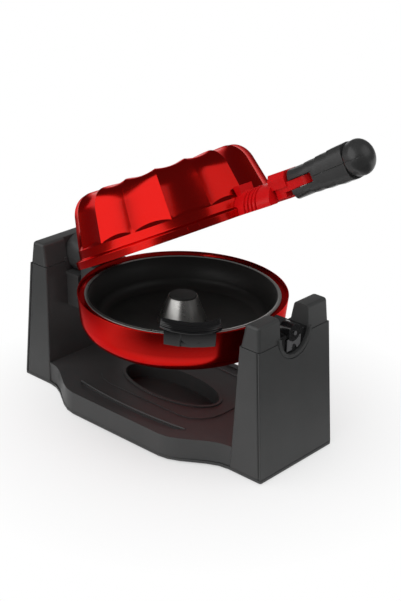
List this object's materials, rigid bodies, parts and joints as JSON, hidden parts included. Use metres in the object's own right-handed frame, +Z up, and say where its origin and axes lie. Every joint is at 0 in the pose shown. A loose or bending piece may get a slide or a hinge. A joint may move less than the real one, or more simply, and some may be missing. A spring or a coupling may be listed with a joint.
{
  "type": "electric cake maker",
  "caption": "Tabletop electric ring-cake maker: a hinged fluted lid on a round baking head that turns between the towers of a tray stand, with a latch and a folding hand grip.",
  "frame": {"origin": "on the table, under the middle of the whole outline with the lid open as in the picture; the middle of the stand is 33.6 mm to the -X side of it", "axes": "+X along the level turning axis, from the hinge side to the hand grip; +Z up; -Y towards the front, where the latch is"},
  "size_m": [0.4272, 0.228, 0.3658],
  "materials": {
    "dark_plastic": "satin dark grey moulding",
    "black_plastic": "gloss black",
    "red_metal": "gloss red metallic paint",
    "red_plastic": "gloss red",
    "pan_metal": "satin bare metal with a dark coated inside",
    "mould_metal": "dark non-stick coating",
    "reflector": "bright",
    "steel": "plain",
    "rubber": "matte"
  },
  "bodies": {
    "stand": {"base_moulding": "dark_plastic", "bottom_plate": "dark_plastic", "base_screw_1": "steel", "base_screw_2": "steel", "base_screw_3": "steel", "base_screw_4": "steel", "rubber_foot_1": "rubber", "rubber_foot_2": "rubber", "rubber_foot_3": "rubber", "rubber_foot_4": "rubber", "left_side_cover": "dark_plastic", "right_side_cover": "dark_plastic", "left_tower_cap": "dark_plastic", "right_tower_cap": "dark_plastic", "left_bearing_block": "dark_plastic", "cord_gland": "black_plastic"},
    "head": {"lower_housing": "red_metal", "baking_pan": "pan_metal", "lower_heater": "steel", "lower_reflector": "reflector", "pan_thermostat": "steel", "hinge_bracket": "dark_plastic", "hinge_pin": "steel", "left_journal": "dark_plastic", "right_journal": "black_plastic", "journal_keeper": "steel", "journal_screw": "steel", "latch_saddle": "black_plastic", "latch_pin": "steel"},
    "latch": {"latch_clip": "black_plastic"},
    "lid": {"lid_shell": "red_metal", "lid_mould": "mould_metal", "lid_heater": "steel", "lid_reflector": "reflector", "lid_knuckle": "black_plastic", "catch_tab": "red_metal", "handle_neck": "red_plastic", "fold_pin": "steel"},
    "grip": {"grip_upper": "black_plastic", "grip_lower": "black_plastic", "grip_screw_1": "steel", "grip_screw_2": "steel", "grip_end_cap": "black_plastic"}
  },
  "joints": [
    {"name": "head_spin", "type": "hinge", "parent": "stand", "child": "head", "pos_m": [0, 0, 0.149], "axis": [1, 0, 0], "range_deg": [-90, 90]},
    {"name": "lid_hinge", "type": "hinge", "parent": "head", "child": "lid", "pos_m": [-0.14462, 0, 0.165], "axis": [0, -1, 0], "range_deg": [-28, 28]},
    {"name": "latch", "type": "hinge", "parent": "head", "child": "latch", "pos_m": [0.06875, -0.08329, 0.146], "axis": [-0.6884, -0.7254, 0], "range_deg": [0, 14]},
    {"name": "handle_fold", "type": "hinge", "parent": "lid", "child": "grip", "pos_m": [0.14038, 0, 0.31382], "axis": [-0.515, 0, 0.8572], "range_deg": [0, 90]}
  ]
}
